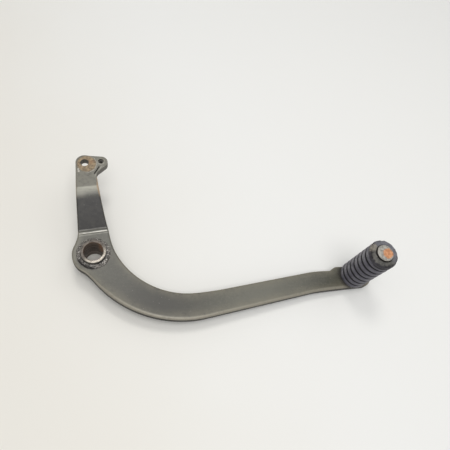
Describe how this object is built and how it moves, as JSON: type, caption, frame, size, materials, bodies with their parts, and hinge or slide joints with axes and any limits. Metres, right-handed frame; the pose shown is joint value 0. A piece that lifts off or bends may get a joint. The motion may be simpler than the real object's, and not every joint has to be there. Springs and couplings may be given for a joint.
{
  "type": "gear shift lever",
  "caption": "Flat stamped steel motorcycle gear shift lever: curved arm with a welded pivot tube, a joggled neck with a link hole, and a foot peg in a ribbed rubber sleeve.",
  "frame": {"origin": "centre of the pivot tube's inboard end face, on the pivot axis", "axes": "+Z along the pivot axis, away from the engine; +X along the long arm; +Y towards the link end"},
  "size_m": [0.2409, 0.12, 0.0702],
  "materials": {
    "plate_paint": "faded satin black paint, worn to olive grey, with light stamped edges and rust at the link hole",
    "weld_paint": "rough painted weld bead",
    "worn_steel": "worn bare steel with brown and orange rust",
    "sleeve_rubber": "matt dark grey ribbed rubber, scuffed lighter on the ribs"
  },
  "bodies": {
    "root": {"lever_plate": "plate_paint", "pivot_tube": "worn_steel", "pivot_weld_outer": "weld_paint", "pivot_weld_inner": "weld_paint", "peg_pin": "worn_steel", "peg_weld": "weld_paint", "peg_sleeve": "sleeve_rubber"}
  },
  "joints": []
}
